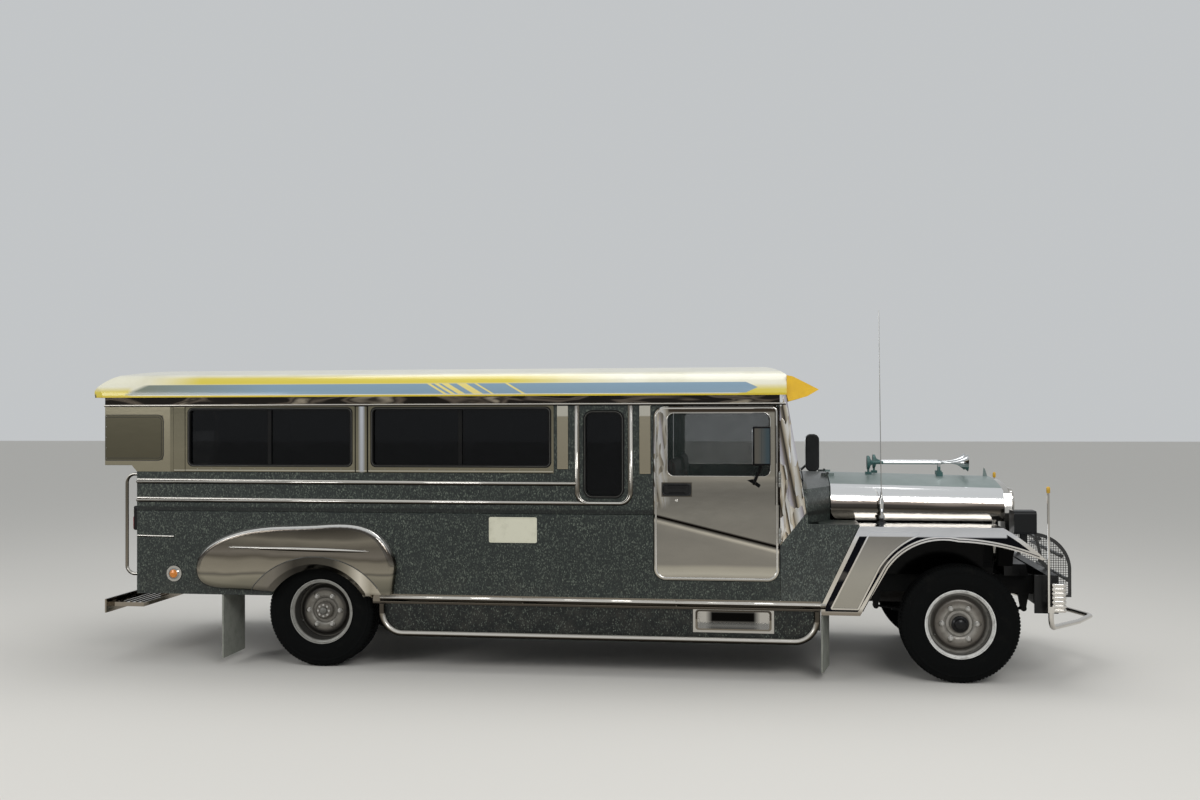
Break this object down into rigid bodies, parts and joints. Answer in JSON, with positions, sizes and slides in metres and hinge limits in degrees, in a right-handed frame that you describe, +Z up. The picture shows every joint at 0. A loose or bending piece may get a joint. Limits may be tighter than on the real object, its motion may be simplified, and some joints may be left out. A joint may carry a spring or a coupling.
{
  "type": "jeepney",
  "caption": "Long-wheelbase jeepney with polished steel panels, opening doors and hood, steered front wheels and a passenger cabin entered from the rear.",
  "frame": {"origin": "on the ground, on the centre line, at half the overall length", "axes": "+X forward along the vehicle, +Y to its left, +Z up"},
  "size_m": [7.1415, 2.245, 2.48],
  "materials": {
    "frame_black": "satin black chassis paint",
    "cast_grey": "oily cast iron",
    "stainless": "mirror-polished stainless sheet",
    "granite_paint": "fine speckled grey-green paint",
    "roof_paint": "cream, yellow and blue-grey enamel",
    "visor_paint": "yellow enamel",
    "tinted_glass": "dark tinted",
    "clear_glass": "clear",
    "black_plastic": "textured black",
    "rubber": "grey-black rubber sheet",
    "tyre": "worn black tyre",
    "rim_silver": "silver wheel paint",
    "vinyl": "dark vinyl upholstery",
    "bench_board": "grey painted sheet",
    "floor_plate": "grey tread plate",
    "horn_chrome": "chrome with blue-green caps"
  },
  "bodies": {
    "body": {"chassis_frame": "frame_black", "engine_block": "cast_grey", "front_axle": "frame_black", "rear_axle": "frame_black", "leaf_springs": "frame_black", "propeller_shaft": "frame_black", "fuel_tank": "frame_black", "exhaust_pipe": "cast_grey", "floor_pan": "floor_plate", "side_wall_right": "granite_paint", "side_wall_left": "granite_paint", "body_glass": "tinted_glass", "window_seals": "rubber", "window_surrounds": "stainless", "side_mouldings": "stainless", "rear_frame": "stainless", "roof": "roof_paint", "roof_visor": "visor_paint", "windshield_posts": "stainless", "windshield_frame": "black_plastic", "cowl": "granite_paint", "dashboard": "black_plastic", "grille": "stainless", "lamps": "black_plastic", "front_fenders": "stainless", "rear_spats": "stainless", "side_skirts": "granite_paint", "front_bumper": "frame_black", "bumper_trim": "stainless", "grille_guard": "stainless", "rear_step": "stainless", "grab_rails": "stainless", "mudflaps": "rubber", "benches": "bench_board", "bench_cushions": "vinyl", "front_seats": "bench_board", "front_cushions": "vinyl", "steering_column": "frame_black", "mirror_left": "black_plastic", "antenna": "frame_black"},
    "door_right": {"door_right": "stainless", "door_glass_right": "clear_glass", "mirror_right": "black_plastic"},
    "door_left": {"door_left": "stainless", "door_glass_left": "clear_glass"},
    "hood": {"hood": "stainless", "trumpet_horns": "horn_chrome"},
    "steering_wheel": {"steering_wheel": "black_plastic"},
    "knuckle_right": {"knuckle_right": "cast_grey"},
    "knuckle_left": {"knuckle_left": "cast_grey"},
    "tie_rod": {"tie_rod": "frame_black"},
    "wheel_front_right": {"tyre_front_right": "tyre", "rim_front_right": "rim_silver"},
    "wheel_front_left": {"tyre_front_left": "tyre", "rim_front_left": "rim_silver"},
    "wheel_rear_right": {"tyre_rear_right": "tyre", "rim_rear_right": "rim_silver"},
    "wheel_rear_left": {"tyre_rear_left": "tyre", "rim_rear_left": "rim_silver"}
  },
  "joints": [
    {"name": "steer_right", "type": "hinge", "parent": "body", "child": "knuckle_right", "pos_m": [2.515, -0.62, 0.3875], "axis": [0, 0, 1], "range_deg": [-32, 32]},
    {"name": "spin_front_right", "type": "hinge", "parent": "knuckle_right", "child": "wheel_front_right", "pos_m": [2.515, -0.775, 0.3875], "axis": [0, 1, 0], "continuous": true},
    {"name": "spin_rear_right", "type": "hinge", "parent": "body", "child": "wheel_rear_right", "pos_m": [-1.865, -0.775, 0.3875], "axis": [0, 1, 0], "continuous": true},
    {"name": "door_right_hinge", "type": "hinge", "parent": "body", "child": "door_right", "pos_m": [1.342, -0.945, 1.152], "axis": [0, 0, 1], "range_deg": [0, 65]},
    {"name": "steer_left", "type": "hinge", "parent": "body", "child": "knuckle_left", "pos_m": [2.515, 0.62, 0.3875], "axis": [0, 0, 1], "range_deg": [-32, 32]},
    {"name": "spin_front_left", "type": "hinge", "parent": "knuckle_left", "child": "wheel_front_left", "pos_m": [2.515, 0.775, 0.3875], "axis": [0, 1, 0], "continuous": true},
    {"name": "spin_rear_left", "type": "hinge", "parent": "body", "child": "wheel_rear_left", "pos_m": [-1.865, 0.775, 0.3875], "axis": [0, 1, 0], "continuous": true},
    {"name": "door_left_hinge", "type": "hinge", "parent": "body", "child": "door_left", "pos_m": [1.342, 0.945, 1.152], "axis": [0, 0, -1], "range_deg": [0, 65]},
    {"name": "tie_rod_pivot", "type": "hinge", "parent": "knuckle_right", "child": "tie_rod", "pos_m": [2.35, -0.62, 0.2835], "axis": [0, 0, 1], "range_deg": [-32, 32]},
    {"name": "steering_wheel_turn", "type": "hinge", "parent": "body", "child": "steering_wheel", "pos_m": [1.092, 0.42, 1.24], "axis": [-0.7431, 0, 0.6691], "range_deg": [-512, 512]},
    {"name": "hood_hinge", "type": "hinge", "parent": "body", "child": "hood", "pos_m": [1.692, 0, 1.35], "axis": [0, -1, 0], "range_deg": [0, 50]}
  ],
  "couplings": [
    {"joint": "steer_left", "follows": "steer_right", "ratio": 1},
    {"joint": "tie_rod_pivot", "follows": "steer_right", "ratio": -1},
    {"joint": "steering_wheel_turn", "follows": "steer_right", "ratio": 16}
  ]
}
